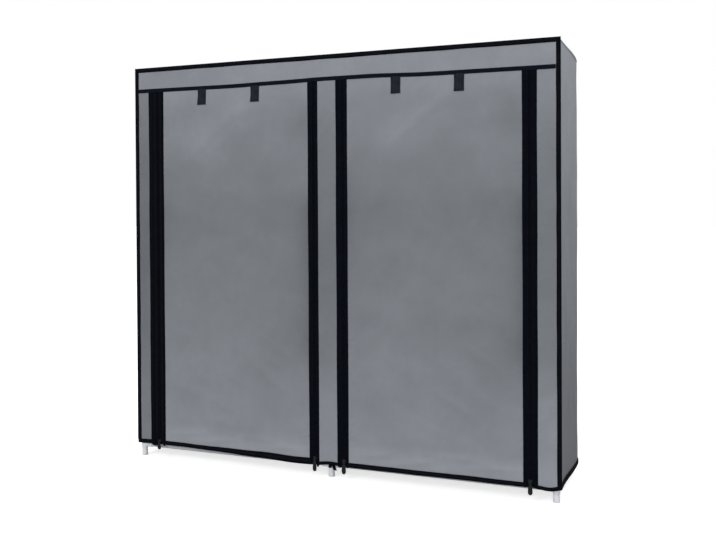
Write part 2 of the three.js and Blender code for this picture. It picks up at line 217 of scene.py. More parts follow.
def shade_front(x, z):
    """Painted light and shade on the front cloth: lighter at the top and the hem, darker in the middle, with
    painted highlights and painted shade by creases and edges, and a little cloudiness.
    """
    place = (x - np.sign(x) * DOOR_CENTRE) / 220
    t = (z - HEM) / (DOOR_TOP - HEM)
    # tone and slim: painted light and shade up the doors and the strips, with a painted highlight at the
    # curled hem and painted shade in the middle
    tone = through(t, [(0, 1.28), (0.03, 1.26), (0.075, 1.08), (0.2, 0.98), (0.4, 0.86), (0.52, 0.82),
                       (0.66, 0.757), (0.75, 0.81), (0.84, 0.875), (0.92, 0.89), (1.0, 1.02)])
    slim = through(t, [(0, 1.18), (0.12, 1.06), (0.35, 0.77), (0.55, 0.685), (0.8, 0.76), (1.0, 0.94)])
    # outer: painted shade on the left strip, deeper towards the bottom, and a little painted light on the
    # right strip
    outer = np.where(x < 0, 0.85 - 0.12 * ease((0.35 - t) / 0.3), 1.06)
    # left and right: painted shade by a door's left edge and by its right edge
    left = -0.15 * bump(t - 0.63, 0.15) * np.exp(-(place + 1) / 0.16)
    right = -0.27 * np.exp(-(1 - place) / 0.14) * ease((t - 0.18) / 0.15) * ease((0.75 - t) / 0.12)
    # glow: a painted highlight along a diagonal crease near the door's top, with the painted light and shade
    # patches added to it
    glow = 0.11 * ease((place + 0.8) / 0.35) * ease((0.5 - place) / 0.4)
    glow = glow * bump(t - 0.918 - 0.12 * place, 0.045)
    for gain, across, wide, up, high in PAINTED_DOOR_LIGHT_PATCHES:
        glow = glow + gain * bump(place - across, wide) * bump(t - up, high)
    tone = np.where(on_door(x, z), tone * (1 + left + right + glow),
                    slim * np.where(np.abs(x) < OUTER_ZIP, 0.99, outer))
    # the valance: painted light, with a streak of painted shade towards its left
    tone = np.where(z > DOOR_TOP, 1.06 - 0.09 * bump(x + 480, 170), tone)
    return tone * (1 + 0.014 * ripple(x, z, 7.7, 150) + 0.02 * ripple(x, z, 3.1, 62))


# Meshes

def build(name, verts, faces, materials, uvs=None, normals=None, shade=None, kinds=None, crisp=35):
    mesh = bpy.data.meshes.new(name)
    mesh.from_pydata((np.asarray(verts, float) * 0.001).tolist(), [], faces)
    for material in materials:
        mesh.materials.append(material)
    if kinds is not None:
        mesh.polygons.foreach_set("material_index", kinds)
    if uvs is not None:
        corners = np.empty(len(mesh.loops), int)
        mesh.loops.foreach_get("vertex_index", corners)
        layer = mesh.uv_layers.new(name="cloth")
        layer.data.foreach_set("uv", (np.asarray(uvs, float)[corners] * 0.001).ravel())
    mesh.shade_smooth()
    if normals is None:
        mesh.set_sharp_from_angle(angle=radians(crisp))
    if shade is not None:
        layer = mesh.attributes.new("shade", "FLOAT", "POINT")
        layer.data.foreach_set("value", np.asarray(shade, np.float32))
    mesh.validate()
    if normals is not None:
        mesh.normals_split_custom_set(normals)
    obj = bpy.data.objects.new(name, mesh)
    bpy.context.scene.collection.objects.link(obj)
    return obj


def sheet_parts(place, us, vs, thick=CLOTH, keep=None, uv=None, shade=None):
    """A closed thin sheet whose outer face is place(u, v), as vertices, faces, uvs, normals and shades."""
    us, vs = np.asarray(us, float), np.asarray(vs, float)
    u, v = np.meshgrid(us, vs, indexing="ij")
    eu = (us[-1] - us[0]) * 1e-4
    ev = (vs[-1] - vs[0]) * 1e-4
    p = place(u, v)
    n = np.cross(place(u + eu, v) - place(u - eu, v), place(u, v + ev) - place(u, v - ev))
    n = n / np.linalg.norm(n, axis=-1, keepdims=True)
    verts = np.concatenate([p.reshape(-1, 3), (p - n * thick).reshape(-1, 3)])
    flat = n.reshape(-1, 3)
    nu, nv = u.shape
    count = nu * nv
    grid = np.arange(count).reshape(nu, nv).tolist()
    quads = []
    for i in range(nu - 1):
        for j in range(nv - 1):
            if keep is None or keep((us[i] + us[i + 1]) / 2, (vs[j] + vs[j + 1]) / 2):
                quads.append((grid[i][j], grid[i + 1][j], grid[i + 1][j + 1], grid[i][j + 1]))
    faces = quads + [tuple(a + count for a in q[::-1]) for q in quads]
    normals = [flat[a] for q in quads for a in q]
    normals += [-flat[a] for q in quads for a in q[::-1]]
    edges = {(q[m], q[(m + 1) % 4]) for q in quads for m in range(4)}
    for a, b in sorted(edges):
        if (b, a) not in edges:
            faces.append((b, a, a + count, b + count))
            r = np.cross(verts[a] - verts[b], verts[a + count] - verts[a])
            normals += [r / (np.linalg.norm(r) + 1e-12)] * 4
    uvs = np.stack(uv(u, v) if uv else (u, v), -1).reshape(-1, 2)
    tones = (shade(u, v) if shade else np.ones_like(u)).ravel()
    # faces left out leave points that nothing uses
    used, index = np.unique(faces, return_inverse=True)
    return (verts[used], index.reshape(-1, 4).tolist(), np.concatenate([uvs, uvs])[used], normals,
            np.concatenate([tones, tones])[used])


def join_parts(parts):
    starts = np.cumsum([0] + [len(part[0]) for part in parts]).tolist()
    faces = [[a + start for a in face] for start, part in zip(starts, parts) for face in part[1]]
    return np.concatenate([part[0] for part in parts]), faces


def build_parts(name, parts, materials):
    """One mesh of several sheet parts, each given with its material's place in the list."""
    kinds, parts = zip(*parts)
    _, faces, uvs, normals, tones = zip(*parts)
    kinds = [kind for kind, rows in zip(kinds, faces) for _ in rows]
    return build(name, *join_parts(parts), materials, np.concatenate(uvs),
                 [n for rows in normals for n in rows], np.concatenate(tones), kinds)


def make_sheet(name, material, *shape, **more):
    return build_parts(name, [(0, sheet_parts(*shape, **more))], [material])


def spaced(a, b, step):
    return np.linspace(a, b, max(2, int(round(abs(b - a) / step)) + 1))


def skin(rings, sides, closed=False):
    """Faces over rings of points that follow each other, with caps unless the last joins the first."""
    faces = []
    for r in range(rings if closed else rings - 1):
        here, there = r * sides, (r + 1) % rings * sides
        for k in range(sides):
            m = (k + 1) % sides
            faces.append((here + k, here + m, there + m, there + k))
    if not closed:
        faces.append(tuple(range(sides))[::-1])
        faces.append(tuple((rings - 1) * sides + k for k in range(sides)))
    return faces


def ring(centre, along, helper, other, radius, sides):
    """Points round a line; they start square to the helper, or to the other where that lies along it."""
    if abs(along.dot(helper)) >= 0.9:
        helper = other
    a = along.cross(helper).normalized()
    b = along.cross(a)
    turns = [2 * pi * k / sides for k in range(sides)]
    return [tuple(centre + (a * cos(t) + b * sin(t)) * radius) for t in turns]


AXIS_X, AXIS_Y, AXIS_Z = (Vector(row) for row in ((1, 0, 0), (0, 1, 0), (0, 0, 1)))


def turned(profile, start, end, sides=28):
    """A surface of revolution about start-end; the profile is (distance along, radius) points."""
    start, end = Vector(start), Vector(end)
    axis = (end - start).normalized()
    verts = []
    for along, radius in profile:
        verts += ring(start + axis * along, axis, AXIS_Z, AXIS_X, radius, sides)
    return np.array(verts), skin(len(profile), sides)


def swept(points, radius, closed=False, sides=10):
    """A round bar along points, closed into a ring where asked."""
    pts = [Vector(p) for p in points]
    n = len(pts)
    verts = []
    for i, p in enumerate(pts):
        before = pts[i - 1] if (i or closed) else p
        after = pts[(i + 1) % n] if (i < n - 1 or closed) else p
        verts += ring(p, (after - before).normalized(), AXIS_Y, AXIS_Z, radius, sides)
    return np.array(verts), skin(n, sides, closed)


def rounded_plate(outline, y0, y1, bevel, dish=0.0):
    """A plate drawn in X and Z between two depths, with rounded edges and a dished front."""
    pts = np.array(outline, float)
    n = len(pts)
    centre = pts.mean(0)
    edge = np.roll(pts, -1, 0) - pts
    normal = np.stack([edge[:, 1], -edge[:, 0]], -1)
    normal /= np.linalg.norm(normal, axis=1, keepdims=True)
    if ((pts - centre) * normal).sum() < 0:
        normal = -normal
    corner = normal + np.roll(normal, 1, 0)
    corner /= np.linalg.norm(corner, axis=1, keepdims=True)
    loops = []
    for face, inward, turns in ((y1, -bevel, (0, 35, 65, 90)), (y0, bevel, (90, 65, 35, 0))):
        for a in map(radians, turns):
            loops.append((pts - corner * bevel * (1 - sin(a)), face + inward * (1 - cos(a))))
    loops.append((centre + (pts - centre) * 0.6, y0 + dish))
    verts = np.concatenate([np.stack([p[:, 0], np.full(n, y), p[:, 1]], -1) for p, y in loops])
    return verts, skin(len(loops), n)


def mirrored(start, half, end):
    """An outline alike at both sides of X zero: one side's points, and back by the other's."""
    return start + half + end + [(-x, z) for x, z in half[::-1]]


def hard_piece(name, verts, faces, material, crisp=35):
    """A piece whose face normals are made to point out of each closed part."""
    obj = build(name, verts, faces, [material], crisp=crisp)
    bm = bmesh.new()
    bm.from_mesh(obj.data)
    bmesh.ops.recalc_face_normals(bm, faces=bm.faces)
    bm.to_mesh(obj.data)
    bm.free()
    return obj


def declare(piece, slot, *nodes, body="root"):
    """Sets what a piece rides on and hides the nodes it stands for; the slot, what it is made of, is not
    used.
    """
    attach(piece, body)
    if nodes:
        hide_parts(*nodes)
    return piece


# Materials

class Paint:
    """A material's or world's nodes; an input is a value or another node's output."""

    def __init__(self, owner, shader="Principled BSDF"):
        owner.use_nodes = True
        self.owner = owner
        self.nodes = owner.node_tree.nodes
        self.links = owner.node_tree.links
        self.shader = self.nodes[shader]

    def fill(self, node, inputs):
        for key, value in inputs.items():
            socket = node.inputs[key]
            if isinstance(value, bpy.types.NodeSocket):
                self.links.new(value, socket)
            else:
                socket.default_value = (*value, 1.0) if socket.type == "RGBA" else value

    def node(self, kind, settings=None, inputs=None, out=0):
        node = self.nodes.new("ShaderNode" + kind)
        for key, value in (settings or {}).items():
            setattr(node, key, value)
        self.fill(node, inputs or {})
        return node.outputs[out]

    def math(self, operation, a, b=0.0):
        return self.node("Math", {"operation": operation}, {0: a, 1: b})

    def times(self, a, b):
        return self.math("MULTIPLY", a, b)

    def noise(self, where, scale, detail, rough=0.5):
        return self.node("TexNoise", None, {
            "Vector": where, "Scale": scale, "Detail": detail, "Roughness": rough})

    def range(self, value, a, b, c, d, kind="LINEAR"):
        return self.node("MapRange", {"interpolation_type": kind}, {
            "Value": value, "From Min": a, "From Max": b, "To Min": c, "To Max": d})

    def spread(self, noise, low, high):
        """A noise's usual range, stretched to these values."""
        return self.range(noise, 0.3, 0.7, low, high)

    def scaled(self, colour, by):
        return self.node("VectorMath", {"operation": "SCALE"}, {0: colour, "Scale": by})

    def blend(self, share, a, b):
        return self.node("Mix", {"data_type": "RGBA"}, {0: share, 6: a, 7: b}, 2)

    def bump(self, height, distance, strength):
        return self.node("Bump", None, {"Height": height, "Distance": distance, "Strength": strength})

    def finish(self, **inputs):
        self.fill(self.shader, {k.replace("_", " "): v for k, v in inputs.items()})
        return self.owner


def non_woven(name, colour):
    """Spun cloth, pressed with a fine grid of dots; its colour is scaled by the painted light and shade in
    the shade attribute.
    """
    p = Paint(bpy.data.materials.new(name))
    where = p.node("TexCoord", out=2)
    tone = p.node("Attribute", {"attribute_name": "shade"}, out=2)
    cloud = p.spread(p.noise(where, 9, 3), 0.97, 1.03)
    patch = p.spread(p.noise(where, 48, 2), 0.98, 1.02)
    fibre = p.noise(where, 900, 4, 0.7)
    fleck = p.spread(fibre, 0.93, 1.07)
    tone = p.times(p.times(tone, cloud), p.times(patch, fleck))
    dots = p.node("TexVoronoi", None, {"Vector": where, "Scale": 420, "Randomness": 0.22})
    pressed = p.range(dots, 0.12, 0.42, 0, 1)
    height = p.math("ADD", pressed, p.times(fibre, 0.6))
    tone = p.times(tone, p.range(pressed, 0, 1, 0.955, 1.01))
    return p.finish(
        Base_Color=p.scaled(colour, tone), Roughness=p.spread(fibre, 0.86, 0.97),
        Normal=p.bump(height, 0.00022, 0.55), Sheen_Weight=0.05, Sheen_Roughness=0.6,
        Specular_IOR_Level=0.1)


def webbing(name, colour, stitches, rib=0.9, glow=()):
    """Black woven tape: u runs across it, v along it; stitch lines and lighter lines lie along it, and those
    on the edge binding, the hem and the wide zip tape are painted sheen.
    """
    p = Paint(bpy.data.materials.new(name))
    where = p.node("TexCoord", out=2)
    across = p.node("SeparateXYZ", None, {0: where})
    along = across.node.outputs[1]
    wave = 1000 * CIRCLE / rib
    twill = p.math("SINE", p.math("ADD", p.times(along, wave), p.times(across, wave / 2.6)))
    warp = p.math("SINE", p.times(across, wave / 0.8))
    weave = p.math("ADD", twill, p.times(warp, 0.5))
    dust = p.noise(where, 60, 4, 0.6)
    lint = p.noise(where, 1500, 3, 0.6)
    tone = p.times(p.spread(dust, 0.75, 1.35), p.range(weave, -1.5, 1.5, 0.7, 1.3))
    tone = p.times(tone, p.spread(lint, 0.8, 1.25))
    # glow: lighter lines along the tape, each (place, width, gain)
    for place, width, gain in glow:
        near = p.math("ABSOLUTE", p.math("SUBTRACT", across, place * 0.001))
        tone = p.times(tone, p.range(near, 0.0, width * 0.001, gain, 1.0, "SMOOTHSTEP"))
    colour_out = p.scaled(colour, tone)
    height = weave
    for place in stitches:
        near = p.math("LESS_THAN", p.math("ABSOLUTE", p.math("SUBTRACT", across, place * 0.001)), 0.00036)
        dash = p.math("LESS_THAN", p.math("FRACT", p.times(along, 1 / 0.0033)), 0.72)
        thread = p.times(near, dash)
        colour_out = p.blend(thread, colour_out, [2.6 * c for c in colour])
        height = p.math("ADD", height, p.times(thread, 4))
    return p.finish(
        Base_Color=colour_out, Roughness=p.spread(lint, 0.7, 0.9), Normal=p.bump(height, 0.00012, 0.7),
        Specular_IOR_Level=0.02)


def hard(name, colour, rough, grain, depth, metal=0.0, wear=None, gloss=0.5):
    """Moulded or coated stuff with a fine grain, scuffed a little."""
    p = Paint(bpy.data.materials.new(name))
    where = p.node("TexCoord", out=3)
    fine = p.noise(where, grain, 3, 0.55)
    patch = p.noise(where, 35, 4, 0.6)
    tone = p.times(p.spread(patch, 0.95, 1.04), p.spread(fine, 0.98, 1.02))
    colour_out = p.scaled(colour, tone)
    if wear:
        edge = p.node("NewGeometry", out=7)
        rub = p.times(p.range(edge, 0.52, 0.6, 0, 1), p.range(patch, 0.4, 0.6, 0.2, 1))
        colour_out = p.blend(rub, colour_out, wear)
    return p.finish(Base_Color=colour_out, Roughness=p.spread(patch, rough - 0.06, rough + 0.09),
                    Metallic=metal, Normal=p.bump(fine, depth, 0.6), Specular_IOR_Level=gloss)


cover_cloth = non_woven("cover_cloth", (0.207, 0.221, 0.2415))
shelf_material = non_woven("shelf_cloth", (0.46, 0.47, 0.49))
# the glow lines of the edge binding, the hem tape and the wide zip tape are painted sheen; the tab tape's are
# two lighter lines
edge_tape = webbing("edge_binding", (0.0022, 0.0025, 0.004), (8.6,), glow=[(5.5, 5, 1.9)])
band_tape = webbing("band_tape", (0.0044, 0.0058, 0.011), (1.6, 9.0))
tab_tape = webbing("tab_tape", (0.0118, 0.0138, 0.0195), (2.2, 23.8), rib=1.3,
                   glow=[(8.5, 3.2, 1.5), (16.5, 2.4, 1.4)])
hem_tape = webbing("hem_tape", (0.0026, 0.0029, 0.0048), (9.2,), glow=[(5.5, 3, 2.2)])
zip_tape = webbing("zip_tape", (0.0023, 0.0028, 0.0056), (5.4, 10.8))
wide_tape = webbing("wide_zip_tape", (0.0021, 0.0023, 0.0038), (5.4, 18.4),
                    glow=[(9.5, 4, 2.3), (22, 4, 1.8)])
teeth_nylon = hard("coil_nylon", (0.003, 0.003, 0.0045), 0.5, 2500, 0.00002, gloss=0.1)
enamel = hard("slider_enamel", (0.006, 0.0066, 0.0075), 0.4, 1800, 0.00003,
              wear=(0.03, 0.032, 0.034), gloss=0.22)
steel_tube = hard("tube_coat", (0.72, 0.73, 0.75), 0.36, 2600, 0.00004, metal=0.12)
white_plastic = hard("connector_plastic", (0.7, 0.71, 0.73), 0.44, 1500, 0.00005)


# The cover's walls and roof

CORNER_ARC = pi * CORNER / 2
SIDE_RUN = DEPTH - CORNER
WALL_MARKS = np.cumsum([0, SIDE_RUN, CORNER_ARC, 2 * (SIDE - CORNER), CORNER_ARC, SIDE_RUN])
WALL_LENGTH = WALL_MARKS[-1]


def wall_path(s):
    """Place and outward direction along the walls, from the right front round the back to the left."""
    middle = WALL_LENGTH / 2
    hand = np.where(s <= middle, 1, -1)
    run = middle - np.abs(s - middle)
    a = np.clip((run - SIDE_RUN) / CORNER, 0, pi / 2)
    x = SIDE - CORNER + CORNER * np.cos(a) - np.maximum(run - SIDE_RUN - CORNER_ARC, 0)
    y = FRONT + np.minimum(run, SIDE_RUN) + CORNER * np.sin(a)
    return hand * x * (1 + flare(y) / SIDE), y, hand * np.cos(a), np.sin(a)


def wall_out(s, z):
    """How far the walls stand out from their flat layer."""
    ends = np.minimum(s, WALL_LENGTH - s)
    corner = np.minimum(np.abs(s - WALL_MARKS[1] - CORNER), np.abs(s - WALL_MARKS[3] - CORNER))
    held = ease(ends / 45) * ease((TOP - z - 6) / 60)
    free = held * (0.35 + 0.65 * ease(corner / 60))
    out = free * (1.9 * ripple(s, z, 2.6, 240) + 0.5 * ripple(s, z, 5.2, 80))
    for place in (s, WALL_LENGTH - s):
        near = (place > 0) & (place < DEPTH)
        out = out + np.where(near, held * ease(corner / 30) * 1.7 * creases(place, z, SIDE_CREASES), 0)
    return out * (0.25 + 0.75 * ease((z - HEM - 6) / 50))


def wall_rise(s):
    """Height of the walls' hem against its mean height."""
    near = np.minimum(s, WALL_LENGTH - s)
    corner = np.where(s < WALL_LENGTH / 2, hem_rise(SIDE + 0 * s), hem_rise(0 * s - SIDE))
    return corner * ease(1 - near / 80) + through(near, [(0, 0), (DEPTH, -9), (400, -7), (700, -4)])


def wall_point(s, z):
    x, y, nx, ny = wall_path(s)
    out = wall_out(s, z)
    rise = wall_rise(s) * near_hem(z) - slump(x, y) * ease((z - 850) / 240)
    return np.stack([x + nx * out, y + ny * out, z + rise], -1)


# Painted shade on the side walls: darker towards the bottom and lighter at the top, with a little cloudiness
# all round.
def shade_wall(s, z):
    t = (z - HEM) / (TOP - HEM)
    side = np.clip((np.abs(s - WALL_LENGTH / 2) - WALL_LENGTH / 2 + 290) / 60, 0, 1)
    tone = through(t, [(0, 0.61), (0.15, 0.65), (0.5, 0.86), (0.85, 1.03), (1.0, 1.1)])
    uneven = 1 + 0.02 * ripple(s, z, 6.1, 120) + 0.022 * ripple(s, z / 2, 2.9, 55)
    return (1 + (tone - 1) * ease(side)) * uneven


def roof_point(x, y):
    """The roof sags a little between the rails and turns down over the sides and the back."""
    a = np.maximum(np.abs(x) - SIDE + CORNER, 0)
    b = np.maximum(y + FRONT + CORNER, 0)
    far = np.maximum(np.hypot(a, b), 1e-9)
    reach = np.maximum(a, b)
    turn = np.clip((reach - CORNER + ROOF_EDGE) / ROOF_EDGE, 0, 1.3) * pi / 2
    out = np.where(turn > 0, CORNER - ROOF_EDGE + ROOF_EDGE * np.sin(turn), reach)
    px = np.minimum(np.abs(x), SIDE - CORNER) + out * a / far
    py = np.minimum(y, BACK - CORNER) + out * b / far
    drop = ROOF_EDGE * (1 - np.cos(turn))
    hold = ease((SIDE - np.abs(x)) / 60) * ease((BACK - y) / 50) * ease((y - FRONT) / 40)
    bay = np.abs(np.abs(x) - SIDE / 2) / (SIDE / 2)
    sag = hold * (2.4 * ease(1.15 - bay) + 0.7 * ripple(x, y, 3.3, 150))
    px = np.sign(x) * px * (1 + flare(py) / SIDE)
    return np.stack([px, py, TOP - drop - sag - slump(px, py)], -1)


def seam_place(s, a):
    """The rolled seam under the roof's edge; a goes round it."""
    x, y, nx, ny = wall_path(s)
    out = 0.25 + 0.85 * np.cos(a)
    return np.stack([x + nx * out, y + ny * out, TOP - 4.6 - slump(x, y) + 1.1 * np.sin(a)], -1)


# where the walls stop short of the front edges, and under the roof
WALL_START, WALL_TOP = 0.3, TOP - 3.2
wall_ends = [WALL_START, *WALL_MARKS[1:5], WALL_LENGTH - WALL_START]
wall_marks = np.unique(np.concatenate(list(map(spaced, wall_ends, wall_ends[1:], (8, 3.6, 11, 3.6, 8)))))
walls = make_sheet("cover_walls", cover_cloth, wall_point, wall_marks, spaced(HEM + 4, WALL_TOP, 9),
                   shade=shade_wall)
declare(walls, "cover_fabric", "left_side_panel", "right_side_panel", "back_panel")

over_edge = np.array([-ROOF_EDGE, -1.8, -0.6, 0.6])
outer_marks = np.concatenate([spaced(SIDE - CORNER, SIDE - 6, 2.6)[:-1], SIDE + over_edge])
x_marks = np.concatenate([-outer_marks[::-1], spaced(-SIDE + CORNER, SIDE - CORNER, 11)[1:-1], outer_marks])
y_marks = np.concatenate([spaced(FRONT + WALL_START, BACK - CORNER, 9),
                          spaced(BACK - CORNER, BACK - 6, 2.6)[1:], BACK + over_edge])
roof = make_sheet("cover_roof", cover_cloth, roof_point, x_marks, y_marks)
declare(roof, "cover_fabric", "roof_panel")

top_seam = make_sheet("cover_top_seam", cover_cloth, seam_place, wall_marks[::2],
                      np.linspace(-pi / 2, pi / 2, 7), 0.5, uv=lambda s, a: (a, s))
declare(top_seam, "cover_fabric")


# The cover's front

def front_sheet(name, x0, x1, z0=HEM + 1, z1=DOOR_TOP, step=6.0):
    sheet = make_sheet(name, cover_cloth, front_point, spaced(x0, x1, step), spaced(z0, z1, 7),
                       shade=shade_front)
    return declare(sheet, "cover_fabric", "front_panel")


strip_edge = OUTER_ZIP + CLOTH_GAP
centre_edge = INNER_ZIP - CLOTH_GAP
valance = front_sheet("cover_valance", -SIDE + 0.3, SIDE - 0.3, DOOR_TOP + 0.3, TOP - 0.4, 8)
left_strip = front_sheet("cover_left_strip", -SIDE + 0.3, -strip_edge)
centre_strip = front_sheet("cover_centre_strip", -centre_edge, centre_edge)
right_strip = front_sheet("cover_right_strip", strip_edge, SIDE - 0.3)


# Binding, band and hem

def along_profile(points):
    """A profile's arc lengths, and a function from arc length to its two values."""
    pts = np.array(points, float)
    run = np.concatenate([[0], np.cumsum(np.linalg.norm(np.diff(pts, axis=0), axis=1))])
    return run, lambda t: (np.interp(t, run, pts[:, 0]), np.interp(t, run, pts[:, 1]))


# over the front face, round the cover's edge and back along its side
edge_profile = [(BINDING - 0.1, -0.15)]
edge_profile += [(BINDING - 11.6 * k / 12, -0.55 - 0.55 * sin(pi * (k + 0.6) / 13))
                 for k in range(13)]
edge_profile += [(-0.6 - 0.7 * sin(a), -0.62 + 0.7 * (1 - cos(a))) for a in (0.4, 0.8, 1.2, 1.57)]
edge_profile += [(-1.3 - 0.12 * sin(pi * k / 6), 0.1 + 4.9 * k / 6) for k in range(1, 7)]
edge_profile += [(-1.0, 5.25), (-0.6, 5.3)]
edge_run, edge_at = along_profile(edge_profile)


def edge_place(q, t):
    """Up the left front edge for q 0 to 1, along the top to 2 and down the right edge to 3."""
    a, b = edge_at(t)
    a = a + 0.35 * np.sin(q * 37 + 1.3 * np.sin(q * 21)) * ease((a - 4) / 6)
    slim = np.where(a > 0, 0.84 * a, a)
    x = -SIDE + a + np.clip(q - 1, 0, 1) * (2 * SIDE - a - slim)
    base = HEM + BINDING - 1
    z = base + np.minimum(np.minimum(q, 3 - q), 1) * (TOP - a - base)
    return np.stack([x, FRONT + b, z + hem_rise(x) * near_hem(z)], -1)


leg_marks = np.concatenate([np.linspace(0, 1, 80), np.linspace(1, 2, 90)[1:], np.linspace(2, 3, 80)[1:]])
binding = make_sheet("front_edge_tape", edge_tape, edge_place, leg_marks, edge_run, 0.8,
                     uv=lambda q, t: (edge_run[-1] - t - 6, q * 1000))
declare(binding, "binding", "front_edge_binding")


def band_rise(x):
    return 0.3 * ripple(x, 0 * x, 1.1, 120) + through(x, [
        (-590, 2.2), (-283, 0.7), (-131, 2), (0, 4), (95, 4), (277, -0.8), (451, -1.7), (590, -2.1)])


def band_place(x, v):
    """The band across the front; v goes up it from its lower edge."""
    z = BAND + 0.8 + v
    out = 0.55 + 0.75 * np.sin(np.pi * np.clip(v / BAND_WIDTH, 0, 1)) ** 0.5
    return np.stack([x, front_depth(x, z) - out, z + band_rise(x)], -1)


band = make_sheet("valance_band_tape", band_tape, band_place,
                  spaced(-SIDE + BINDING - 1, SIDE - BINDING + 1, 9), np.linspace(0, BAND_WIDTH, 9), 0.5,
                  uv=lambda x, v: (v, x))
declare(band, "binding", "valance_band")

# over the outer face, round the lower edge and up the inner face: (stand-out, height) points
HEM_OUTER, HEM_INNER = 1.35, -2.4
hem_middle, hem_half = (HEM_OUTER + HEM_INNER) / 2, (HEM_OUTER - HEM_INNER) / 2
hem_profile = [(HEM_OUTER - 0.4, BINDING)]
hem_profile += [(HEM_OUTER + 0.25 * sin(pi * k / 6), BINDING - 0.3 - (BINDING - 1.6) * k / 6)
                for k in range(7)]
hem_profile += [(hem_middle + hem_half * cos(a), 1.2 - 1.2 * sin(a))
                for a in np.linspace(0.35, pi - 0.35, 6)]
hem_profile += [(HEM_INNER, 1.3 + (BINDING - 1.6) * k / 4) for k in range(5)]
hem_run, hem_at = along_profile(hem_profile)


def hem_uv(s, t):
    return np.clip(hem_run[8] - t, -5, 20), s


def hem_height(x):
    """How tall the hem's binding is, against its full width."""
    return through(x, [(-590, 1), (-420, 1), (-130, 1.6), (-60, 1.6), (-35, 0.75), (30, 0.75),
                       (50, 1.1), (330, 1.06), (500, 1), (540, 0.78), (575, 0.8), (590, 1)])


def front_hem_place(x, t):
    out, up = hem_at(t)
    depth = front_depth(x, HEM + HEM_BODY)
    return np.stack([x, depth - out, HEM + up * hem_height(x) + hem_rise(x)], -1)


def front_hem(name, x0, x1):
    return make_sheet(name, hem_tape, front_hem_place, spaced(x0, x1, 7), hem_run, 0.5, uv=hem_uv)


# where the round hem starts beside the outer zips, its run to the corner, and its whole run
HEM_START = OUTER_ZIP + TAPE - 2
HEM_REACH = SIDE - HEM_START
HEM_TOTAL = WALL_LENGTH + 2 * HEM_REACH


def round_hem_path(s):
    """Place, outward direction and rise, from the right outer zip round the back to the left one."""
    middle = HEM_TOTAL / 2
    hand = np.sign(middle - s)
    run = middle - np.abs(s - middle)
    a = np.clip((run - HEM_REACH + HEM_ROUND) / (2 * HEM_ROUND), 0, 1) * pi / 2
    x = hand * (np.minimum(HEM_START + run, SIDE - HEM_ROUND) + HEM_ROUND * np.sin(a))
    y = FRONT + HEM_ROUND - HEM_ROUND * np.cos(a)
    nx, ny, rise = hand * np.sin(a), -np.cos(a), hem_rise(x)
    wall = run >= HEM_REACH + HEM_ROUND
    w = s[wall] - HEM_REACH
    wx, wy, nx[wall], ny[wall] = wall_path(w)
    out = wall_out(w, HEM + HEM_BODY)
    x[wall] = wx + nx[wall] * out
    y[wall] = wy + ny[wall] * out
    rise[wall] = wall_rise(w)
    return x, y, nx, ny, rise


def round_hem_place(s, t):
    x, y, nx, ny, rise = round_hem_path(s)
    out, up = hem_at(t)
    up = up * np.where(ny < 0, hem_height(x), 1) * (1 + 0.4 * nx ** 2)
    return np.stack([x + nx * out, y + ny * out, HEM + up + rise], -1)


past_corner = (wall_marks > HEM_ROUND + 3) & (wall_marks < WALL_LENGTH - HEM_ROUND - 3)
hem_corner = np.concatenate([spaced(0, HEM_REACH - HEM_ROUND, 6),
                             spaced(HEM_REACH - HEM_ROUND, HEM_REACH + HEM_ROUND, 1.2)[1:]])
hem_marks = np.concatenate([hem_corner, wall_marks[past_corner] + HEM_REACH, HEM_TOTAL - hem_corner[::-1]])
round_hem = make_sheet("hem_tape", hem_tape, round_hem_place, hem_marks, hem_run, 0.5, uv=hem_uv)
declare(round_hem, "binding", "hem_binding")
centre_hem = front_hem("centre_strip_hem", -INNER_ZIP + 10.5, INNER_ZIP - TAPE)
declare(centre_hem, "binding", "front_panel")

# Tabs and tie

TAB_WIDTH, TAB_HANG, TAB_LENGTH = 26.0, 40.0, 46.0


def make_tab(name, centre):
    """A tab of tape from under the band; u goes across it, v up it."""
    def place(u, v):
        x = centre + u - TAB_WIDTH / 2
        z = BAND - TAB_HANG - 0.3 + v
        curl = 0.9 * (1 - v / TAB_HANG) ** 3 + 0.25 * np.sin(v / 7)
        waist = 1 - 0.03 * np.sin(np.pi * np.clip(v / TAB_HANG, 0, 1))
        dome = 0.25 * np.sin(np.pi * np.clip(u / TAB_WIDTH, 0, 1))
        return np.stack([centre + (u - TAB_WIDTH / 2) * waist, front_depth(x, z) - 0.95 - curl * 0.6 - dome,
                         z + band_rise(centre + 0 * x)], -1)
    tab = make_sheet(name + "_tape", tab_tape, place, np.linspace(0, TAB_WIDTH, 14),
                     np.linspace(0, TAB_LENGTH, 20), 0.9)
    return declare(tab, "binding", name)


tabs = [make_tab(f"{door}_door_{side}_tab", x + shift)
        for door, x in DOORS for side, shift in (("left", -94), ("right", 69))]


def tie_tail(hand, length):
    """One tail of the tie at the middle foot; u goes across it, v down it."""
    def place(u, v):
        t = v / length
        x = 3 + hand * 1.5 + (4 + 6.5 * hand) * np.maximum(t, 0) ** 1.2 + (u - 4) * (1.2 - 0.12 * t)
        y = -137.0 + 0.9 * np.sin(2.6 * t + hand) + 0.35 * (u - 4) * hand * 0.3
        return np.stack([x, y, HEM + 8 - v * 0.97], -1)
    return 0, sheet_parts(place, np.linspace(8, 0, 7), np.linspace(0, length, 14), 0.8)


tie = build_parts("centre_tie_tape", [tie_tail(-1, 19.0), tie_tail(1, 24.0)], [edge_tape])
declare(tie, "binding", "centre_tie")

# Zips

# a coil loop's rings: distance from the zip's line, half depth, half height
LOOP = ((0.12, 0.95, 0.5), (0.75, 1.4, 0.62), (4.3, 1.25, 0.42))
LOOP_SIDES, PITCH, COIL_DEPTH = 6, 2.4, -139.4
# where the tape's edge lies behind the loops' heads, and where it comes out from under them
SLIT, LOOP_HEAD = 0.14, 1.6
